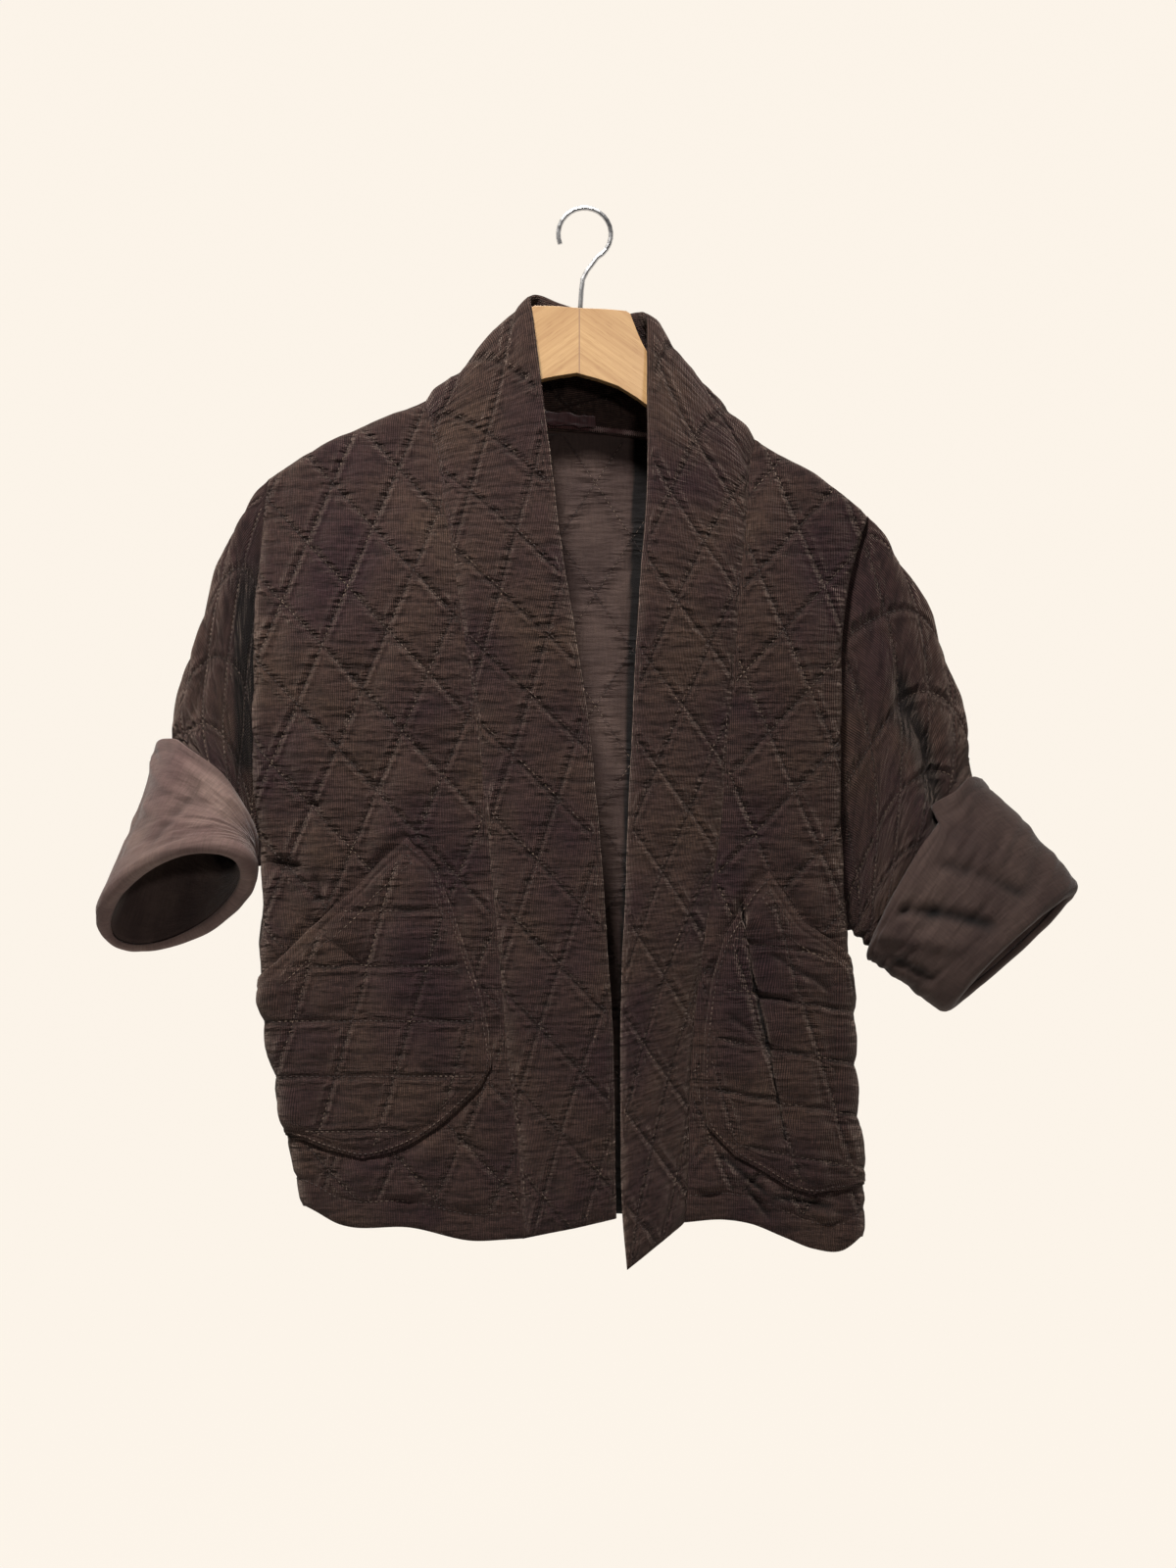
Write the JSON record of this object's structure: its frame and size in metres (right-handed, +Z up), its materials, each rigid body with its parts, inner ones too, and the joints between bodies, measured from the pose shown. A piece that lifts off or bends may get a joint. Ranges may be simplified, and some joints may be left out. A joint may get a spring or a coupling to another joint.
{
  "type": "kimono coat on a hanger",
  "caption": "Open quilted corduroy kimono jacket with turned-up cuffs and curved patch pockets, on a wooden hanger.",
  "frame": {"origin": "the inner top of the hook, where the hanger hangs", "axes": "+Z up, +X to the viewer's right when the front faces the viewer, +Y towards the back"},
  "size_m": [0.7343, 0.133, 0.7862],
  "materials": {
    "corduroy": "matte",
    "lining": "matte",
    "satin": "satin",
    "wood": "satin",
    "steel": "satin"
  },
  "bodies": {
    "root": {"back": "corduroy", "front_left": "corduroy", "front_right": "corduroy", "neck_band": "corduroy", "sleeve_left": "corduroy", "sleeve_right": "corduroy", "pocket_left": "corduroy", "pocket_right": "corduroy", "cuff_left": "lining", "cuff_right": "lining", "neck_tape": "satin", "hanger": "wood", "hook": "steel"}
  },
  "joints": []
}
